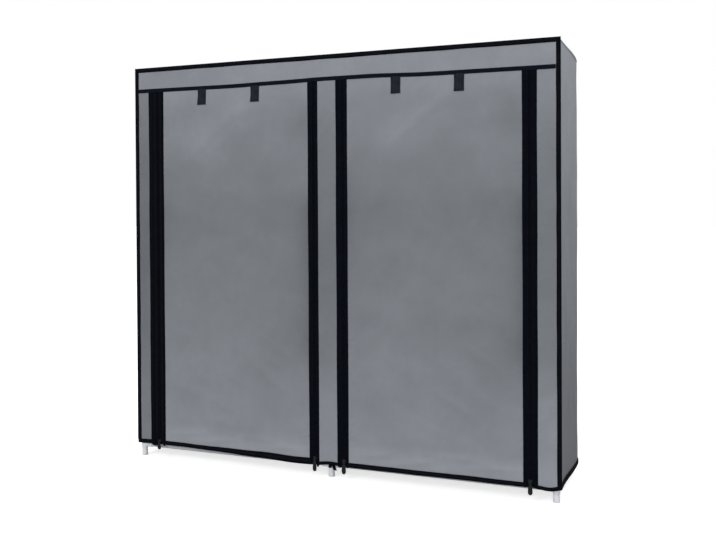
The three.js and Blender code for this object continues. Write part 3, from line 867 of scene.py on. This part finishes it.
# each zip's tape: how wide its fixed side and its door's side are
TAPE_WIDTHS = {"left_outer": (28.5, 20.0), "left_inner": (12.5, 16.0),
               "right_inner": (19.0, 13.0), "right_outer": (18.4, 17.3)}
COIL_LOW, COIL_HIGH = HEM + 3, DOOR_TOP - 8
TAPE_LOW, TAPE_HIGH = HEM + 0.5, DOOR_TOP - 1


def teeth(zip_x, hand, z0, z1):
    """One row of coil: the loops' heads, reaching to the zip's line from the tape at one side."""
    start = 0.0 if hand > 0 else PITCH / 2
    low = ceil((z0 + 0.6 - start) / PITCH)
    high = floor((z1 - 0.6 - start) / PITCH)
    rows = start + np.arange(low, high + 1) * PITCH
    turns = [k * pi / 3 for k in range(LOOP_SIDES)]
    loop = np.array([(hand * x, ry * cos(w), rz * sin(w)) for x, ry, rz in LOOP for w in turns])
    sides = skin(len(LOOP), LOOP_SIDES)
    if hand > 0:
        sides = [face[::-1] for face in sides]
    normals = []
    for face in sides:
        a, b, c = (loop[k] for k in face[:3])
        r = np.cross(b - a, c - b)
        normals += [r / np.linalg.norm(r)] * len(face)
    places = np.stack([np.full_like(rows, zip_x), np.full_like(rows, COIL_DEPTH), rows], -1)
    verts = (places[:, None] + loop).reshape(-1, 3)
    faces = [tuple(len(loop) * k + a for a in face) for k in range(len(rows)) for face in sides]
    uvs = np.stack([0 * verts[:, 0], np.repeat(rows, len(loop))], -1)
    return verts, faces, uvs, normals * len(rows), np.ones(len(verts))


def tape_part(zip_x, hand, width, zs):
    """A zip's woven tape at one side of its line."""
    def place(u, z):
        inside = np.clip(u, SLIT, width)
        x = zip_x + hand * (inside + 0.3 * np.sin(z / 61 + zip_x) * ease((inside - 8) / 8))
        rise = 0.32 * np.sin(np.pi * np.clip((u - LOOP_HEAD) / (width - LOOP_HEAD), 0, 1)) ** 0.5
        rise = rise - 0.6 * np.clip((LOOP_HEAD - u) / (LOOP_HEAD - SLIT), 0, 1)
        p = front_point(x, z)
        p[..., 1] -= 0.3 + rise + 0.08 * np.sin(z / 5.2 + u / 9)
        return p
    marks = np.unique(np.concatenate([[SLIT, 0.9, LOOP_HEAD, 3.0], spaced(4.5, width - 1, 2.6),
                                      [width - 0.35, width]]))
    return sheet_parts(place, marks if hand > 0 else marks[::-1], zs, 0.7)


# the pieces on each zip's fixed side, and the tape's ends on each door
zip_pieces = {}
for name, x, side in ZIPS:
    parts = [(0, tape_part(x, -side, TAPE_WIDTHS[name][0], spaced(TAPE_LOW, TAPE_HIGH, 11))),
             (1, teeth(x, -side, COIL_LOW, COIL_HIGH))]
    woven = wide_tape if name == "left_outer" else zip_tape
    zip_pieces[name] = [build_parts(f"{name}_fixed_tape", parts, [woven, teeth_nylon])]
    declare(zip_pieces[name][0], "zip_tape", f"{name}_zip_tape")


def tape_end(name, zip_x, hand, near, far, drop):
    """The end of a zip's tape, turned over the hem and hanging a little below it."""
    def place(u, v):
        x = zip_x + hand * u
        edge = (u - (near + far) / 2) / ((far - near) / 2)
        reach = drop * (1 - 0.45 * edge ** 4 + 0.12 * np.sin(u * 1.7))
        z = HEM + hem_rise(x) - reach + v * (8 + reach)
        depth = front_depth(x, HEM + HEM_BODY)
        return np.stack([x, depth - 1.75 - 0.3 * np.sin(2.6 * v + 0.4 * u), z], -1)
    marks = spaced(near, far, 1.2)
    return make_sheet(name, zip_tape, place, marks if hand > 0 else marks[::-1], np.linspace(0, 1, 8), 0.9,
                      uv=lambda u, v: (u, v * 12))


# zip, side of its line, nearer and farther edge, drop, body
TAPE_ENDS = [("left_outer", -1, 5.5, 25, 4.5, "root"), ("left_outer", 1, 12, 19, 4, "left_door_9"),
             ("left_inner", 1, 5.5, 11.5, 5, "root"), ("right_inner", -1, 6, 17, 2.5, "root"),
             ("right_inner", 1, 6, 12, 2, "right_door_9")]
zip_places = {name: x for name, x, _ in ZIPS}
for name, hand, near, far, drop, body in TAPE_ENDS:
    kind, key, node = "fixed", name, f"{name}_zip_tape"
    if body != "root":
        kind, key, node = "door", body, body.replace("door_", "door_strip_")
    end = tape_end(f"{name}_{kind}_tape_end", zip_places[name], hand, near, far, drop)
    zip_pieces.setdefault(key, []).append(declare(end, "zip_tape", node, body=body))


# Sliders and pulls

# front and back face of the slider's plates and of the web between them
FRONT_PLATE, BACK_PLATE, WEB = (-142.5, -141.32), (-137.5, -136.3), (-141.8, -136.9)
SLIDER_FOOT = HEM + 3
# a plate's half outline over the foot, how much of it is used, and the height of its notch
SLIDER_HALF = [(1.6, 0), (2.6, 0.5), (3.1, 3), (4.1, 8.2), (4.5, 10.5), (4.4, 12.8), (3.5, 13.9), (0.9, 13.3)]
SLIDER_SHARE, SLIDER_NOTCH = 0.995, 12.6
WEB_HALF, WEB_POINT = [(0.06, 9.6), (0.06, 13.4)], 9.2
# half of the bail: depth, and distance from its middle
BAIL = [(-141.9, 3.8), (-144.3, 3.7), (-145.1, 3.1), (-145.35, 1.8)]
BAIL_MIDDLE, BAIL_WIRE, BAIL_SHARE = SLIDER_FOOT + 7, 0.52, 1.9
# half of the pull's wire loop
PULL_LOOP = [(1.2, 0), (2.45, 0), (2.75, -0.5), (2.75, -2.4), (2.75, -5.0), (2.5, -6.4), (1.4, -7.0)]
PULL_Y, PULL_Z, PULL_WIRE, TONGUE_TOP = -143.6, HEM + 10, 0.56, -6.5
# each pull: its width, its length and whether its tip is squarish
PULLS = {"left_outer": (11.6, 20.3, False), "left_inner": (11.0, 31.5, False),
         "right_inner": (11.8, 31.3, True), "right_outer": (11.2, 30.0, False)}


def zip_metal(name, x, parts, node, body):
    verts, faces = join_parts(parts)
    verts[:, 0] += x
    declare(hard_piece(name, verts, faces, enamel, crisp=45), "zip_metal", node, body=body)


def raised(outline, z):
    return [(px, z + pz) for px, pz in outline]


def make_slider(name, x):
    half = [(px * SLIDER_SHARE, pz) for px, pz in SLIDER_HALF]
    plate = raised(mirrored([], half, [(0, SLIDER_NOTCH)]), SLIDER_FOOT)
    web = raised(mirrored([(0, WEB_POINT)], WEB_HALF, []), SLIDER_FOOT)
    bail = [(0, y, BAIL_MIDDLE - d) for y, d in BAIL]
    bail += [(0, y, BAIL_MIDDLE + d) for y, d in BAIL[::-1]]
    verts, faces = swept(bail, BAIL_WIRE)
    verts[:, 0] *= BAIL_SHARE
    parts = [rounded_plate(plate, *FRONT_PLATE, 0.45, 0.12), rounded_plate(plate, *BACK_PLATE, 0.4),
             rounded_plate(web, *WEB, 0.02), (verts, faces)]
    zip_metal(f"{name}_slider_body", x, parts, f"{name}_zip_slider", f"{name}_slider")


def make_pull(name, x, wide, long, squarish):
    """A wire loop through the bail, with a tongue that hangs from it."""
    half = wide / 2
    fall = 0.55 * (long + TONGUE_TOP - 3)
    side_power, tip_power = (1.25, 1.25) if squarish else (1, 1)
    tongue = [(2.0, TONGUE_TOP), (2.9, TONGUE_TOP - 0.8)]
    tongue += [(half * (0.8 + 0.2 * k / 4), TONGUE_TOP - 0.8 - fall * k / 4) for k in range(1, 5)]
    tongue += [(half * cos(a) ** side_power, 1.1 * half * (1 - sin(a) ** tip_power) - long)
               for a in np.linspace(0, pi / 2, 5)[:-1]]
    loop = raised(mirrored([(0, 0)], PULL_LOOP, [(0, -7.1)]), PULL_Z)
    parts = [swept([(px, PULL_Y, pz) for px, pz in loop], PULL_WIRE, closed=True),
             rounded_plate(raised(mirrored([], tongue, [(0, -long)]), PULL_Z), PULL_Y - 0.72, PULL_Y + 0.62,
                           0.4, 0.22)]
    zip_metal(f"{name}_pull_tongue", x, parts, f"{name}_zip_pull", f"{name}_pull")


for name, x, _ in ZIPS:
    make_slider(name, x)
    make_pull(name, x, *PULLS[name])


# Doors

def door_rows(z0, z1, hinge, step):
    """Heights from z0 to z1, close to each other where the cloth bends."""
    low, high = hinge - BEND - 2, hinge + BEND + 2
    rows = [spaced(z0, low, step), spaced(low, high, 3.4), spaced(high, z1, step)]
    return np.unique(np.round(np.concatenate(rows), 4))


door_cloths = []
for door, centre in DOORS:
    above = "cover_valance"
    for k, hinge in enumerate(hinges):
        z0, z1 = max(seams[k + 1], HEM + 1), seams[k]
        upper, lower = f"{door}_door_{k}" if k else "root", f"{door}_door_{k + 1}"
        nodes = [f"{door}_door_strip_{k + 1}"]
        if k == 0:
            nodes.insert(0, f"{door}_door_header")
        cloth = make_sheet(f"{door}_door_cloth_{k}", cover_cloth, front_point,
                           spaced(centre - DOOR_REACH, centre + DOOR_REACH, 6), door_rows(z0, z1, hinge, 7),
                           shade=shade_front)
        rows = door_rows(max(seams[k + 1], TAPE_LOW), min(z1, TAPE_HIGH), hinge, 11)
        parts = []
        for name, x, side in ZIPS:
            if name.startswith(door):
                kind = 2 if name == "left_outer" else 0
                parts.append((kind, tape_part(x, side, TAPE_WIDTHS[name][1], rows)))
                parts.append((1, teeth(x, side, max(z0, COIL_LOW), min(z1, COIL_HIGH))))
        tape = build_parts(f"{door}_door_tape_{k}", parts, [zip_tape, teeth_nylon, wide_tape])
        for piece, slot in ((cloth, "cover_fabric"), (tape, "zip_tape")):
            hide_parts(*nodes)
            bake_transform(piece)
        door_cloths.append((cloth, above, z1 - z0, [tape]))
        above = cloth.name
    hem = front_hem(f"{door}_door_hem", centre - DOOR_REACH + 4, centre + DOOR_REACH - 4)
    declare(hem, "binding", *nodes, body=lower)
    door_cloths[-1][3].extend([hem, *zip_pieces[lower]])

# Frame

FOOT = [(0, 6.4), (0.3, 7.5), (1.0, 8.2), (1.8, 8.4), (4, 8.35), (9, 8.1), (14, 7.85), (18, 7.7),
        (19.4, 7.6), (19.9, 7.3), (20, 6.8), (20, 6.3)]
FOOT_HEIGHT, TUBE_START = 20.0, 10.0
SOCKET, COLLAR, COLLAR_BORE = 26.0, 24.0, 7.0
COLUMNS = (-COLUMN_X, 0.0, COLUMN_X)

for x_name, x in zip(("left", "centre", "right"), COLUMNS):
    for y_name, y in (("front", -COLUMN_Y), ("back", COLUMN_Y)):
        node = f"{x_name}_{y_name}_upright"
        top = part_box(node)[1][2] * 1000
        long = top - TUBE_START
        shaft = turned([(0, TUBE - 0.4), (0.4, TUBE), (long - 0.4, TUBE), (long, TUBE - 0.5)],
                       (x, y, TUBE_START), (x, y, top), 32)
        cap = turned(FOOT, (x, y, 0), (x, y, FOOT_HEIGHT), 36)
        declare(hard_piece(f"{node}_tube", *shaft, steel_tube), "tube", node)
        declare(hard_piece(f"{x_name}_{y_name}_foot_cap", *cap, white_plastic), "connector", node)


def socket(x, y, z, dx, dy):
    """A connector's sleeve, with a rounded lip and a bead at its mouth."""
    c = CONNECTOR
    profile = [(0, c - 0.5), (0.5, c), (SOCKET - 4, c - 0.25), (SOCKET - 3.6, c), (SOCKET - 0.8, c),
               (SOCKET - 0.2, c - 0.35), (SOCKET, c - 0.9), (SOCKET, TUBE)]
    return turned(profile, (x, y, z), (x + dx * SOCKET, y + dy * SOCKET, z))


for level, z in enumerate(RAILS, 1):
    tubes, joints = [], []
    tall = COLLAR + (2.0 if level == len(RAILS) else 0.0)
    collar = [(0, COLLAR_BORE), (0, CONNECTOR - 0.6), (0.6, CONNECTOR), (tall - 0.6, CONNECTOR),
              (tall, CONNECTOR - 0.6), (tall, COLLAR_BORE)]
    for y in (-COLUMN_Y, COLUMN_Y):
        for x0, x1 in zip(COLUMNS, COLUMNS[1:]):
            tubes.append(turned([(0, TUBE), (COLUMN_X, TUBE)], (x0, y, z), (x1, y, z)))
        for x in COLUMNS:
            joints.append(turned(collar, (x, y, z - COLLAR / 2), (x, y, z + COLLAR / 2), 32))
            joints.append(socket(x, y, z, 0, -np.sign(y)))
            joints += [socket(x, y, z, hand, 0) for hand in (-1, 1) if hand * x <= 0]
    for x in COLUMNS:
        tubes.append(turned([(0, TUBE), (2 * COLUMN_Y, TUBE)], (x, -COLUMN_Y, z), (x, COLUMN_Y, z)))
    rails = hard_piece(f"level_{level}_rails", *join_parts(tubes), steel_tube)
    declare(rails, "tube", f"level_{level}_frame")
    corners = hard_piece(f"level_{level}_connectors", *join_parts(joints), white_plastic)
    declare(corners, "connector", f"level_{level}_frame")

# Shelves

SLEEVE = TUBE + 0.8
SHELF_REACH, NOTCH = 545.0, 32.0
SHELF_ARC = SLEEVE * radians(215)
SHELF_RUN = 2 * SHELF_ARC + 2 * COLUMN_Y


def shelf_path(t):
    """Across the shelf: round the front rail, over the top, round the back rail."""
    t = t - SHELF_RUN / 2
    a = np.maximum(np.abs(t) - COLUMN_Y, 0) / SLEEVE
    y = np.sign(t) * (np.minimum(np.abs(t), COLUMN_Y) + SLEEVE * np.sin(a))
    return y, SLEEVE * np.cos(a)


def shelf_place(height):
    def place(x, t):
        y, z = shelf_path(t)
        inside = ease((COLUMN_Y - np.abs(y)) / 45)
        bay = np.abs(np.abs(x) - 286) / 286
        humps = 0.8 * ripple(x, y, 2.0 + height / 700, 120) + 0.4 * ripple(x, y, 5.0, 45)
        sag = inside * (3.0 * ease(1.2 - bay) + humps)
        return np.stack([x, y, height + z - sag * (z > SLEEVE - 0.5)], -1)
    return place


def shelf_keep(x, t):
    """Leaves out the notches round the middle uprights."""
    return abs(x) >= NOTCH or abs(shelf_path(t)[0]) <= COLUMN_Y - NOTCH


shelf_half = np.concatenate([spaced(0, SHELF_ARC, 2.2), spaced(SHELF_ARC, SHELF_ARC + NOTCH, 8)])
shelf_rows = np.unique(np.round(np.concatenate([
    shelf_half, spaced(SHELF_ARC + NOTCH, SHELF_RUN - SHELF_ARC - NOTCH, 9), SHELF_RUN - shelf_half]), 4))
shelf_columns = np.unique(np.concatenate([
    spaced(-SHELF_REACH, -NOTCH, 11), spaced(-NOTCH, NOTCH, 8), spaced(NOTCH, SHELF_REACH, 11)]))
for level, z in enumerate(RAILS[:3], 1):
    shelf = make_sheet(f"level_{level}_shelf_cloth", shelf_material, shelf_place(z), shelf_columns,
                       shelf_rows, 0.8, keep=shelf_keep)
    declare(shelf, "shelf_cloth", f"level_{level}_shelf")


# Camera, light and floor: these lengths are in metres, the camera's focal length in the photo's pixels

PHOTO_WIDTH, SENSOR, FOCAL = 716, 36, 881.7
CAMERA_PLACE = (0.8747, -2.2562, 0.6994)
yaw, pitch, roll = (radians(a) for a in (-21.965, 0.628, -0.336))
forward = Vector((sin(yaw) * cos(pitch), cos(yaw) * cos(pitch), -sin(pitch)))
right = Vector((cos(yaw), -sin(yaw), 0))
up = right.cross(forward)
right, up = right * cos(roll) + up * sin(roll), up * cos(roll) - right * sin(roll)
camera = bpy.data.objects.new("camera", bpy.data.cameras.new("camera"))
bpy.context.scene.collection.objects.link(camera)
camera.data.sensor_width = SENSOR
camera.data.sensor_fit = "HORIZONTAL"
camera.data.lens = FOCAL * SENSOR / PHOTO_WIDTH
camera.data.shift_x = 0.0311
camera.data.shift_y = -0.0714
camera.data.clip_end = 100
camera.matrix_world = Matrix.Translation(CAMERA_PLACE) @ Matrix((right, up, -forward)).transposed().to_4x4()
bpy.context.scene.camera = camera


def lamp(name, place, target, size, power):
    data = bpy.data.lights.new(name, "AREA")
    data.shape = "DISK"
    data.size = size
    data.energy = power
    obj = bpy.data.objects.new(name, data)
    bpy.context.scene.collection.objects.link(obj)
    obj.location = place
    obj.rotation_euler = (Vector(target) - Vector(place)).to_track_quat("-Z", "Y").to_euler()


lamp("key", (-1.4, -3.4, 2.6), (0, 0, 0.6), 1.8, 76)
lamp("front_fill", (1.6, -3.6, 1.0), (0, 0, 0.4), 1.6, 33)
lamp("side_fill", (1.7, -0.3, 2.2), (0.59, 0, 0.7), 1.0, 20)
lamp("back_fill", (-1.5, 3.2, 2.8), (0, 0, 0.6), 2.2, 75)

bpy.context.scene.world = bpy.data.worlds.new("studio")
sky = Paint(bpy.context.scene.world, "Background")
rays = sky.node("LightPath").node.outputs
mirrors = sky.math("MAXIMUM", rays["Is Glossy Ray"], rays["Is Transmission Ray"])
seen = sky.math("MAXIMUM", rays["Is Camera Ray"], mirrors)
sky.finish(Color=(1, 1, 1), Strength=sky.range(seen, 0, 1, 0.42, 1.0))

FLOOR_REACH = 30
floor_mesh = bpy.data.meshes.new("floor")
corners = [(x * FLOOR_REACH, y * FLOOR_REACH, 0) for x, y in ((-1, -1), (1, -1), (1, 1), (-1, 1))]
floor_mesh.from_pydata(corners, [], [(0, 1, 2, 3)])
ground = bpy.data.objects.new("floor", floor_mesh)
bpy.context.scene.collection.objects.link(ground)
p = Paint(bpy.data.materials.new("studio_floor"))
away = p.node("VectorMath", {"operation": "LENGTH"}, {0: p.node("TexCoord", out=3)}, 1)
glow = p.times(p.node("LightPath"), p.range(away, 0.7, 1.7, 0.7, 1.0))
floor_mesh.materials.append(p.finish(
    Base_Color=(0.62, 0.62, 0.63), Roughness=0.9, Specular_IOR_Level=0.0, Emission_Color=(1, 1, 1),
    Emission_Strength=glow))

bpy.context.scene.view_settings.view_transform = "Standard"
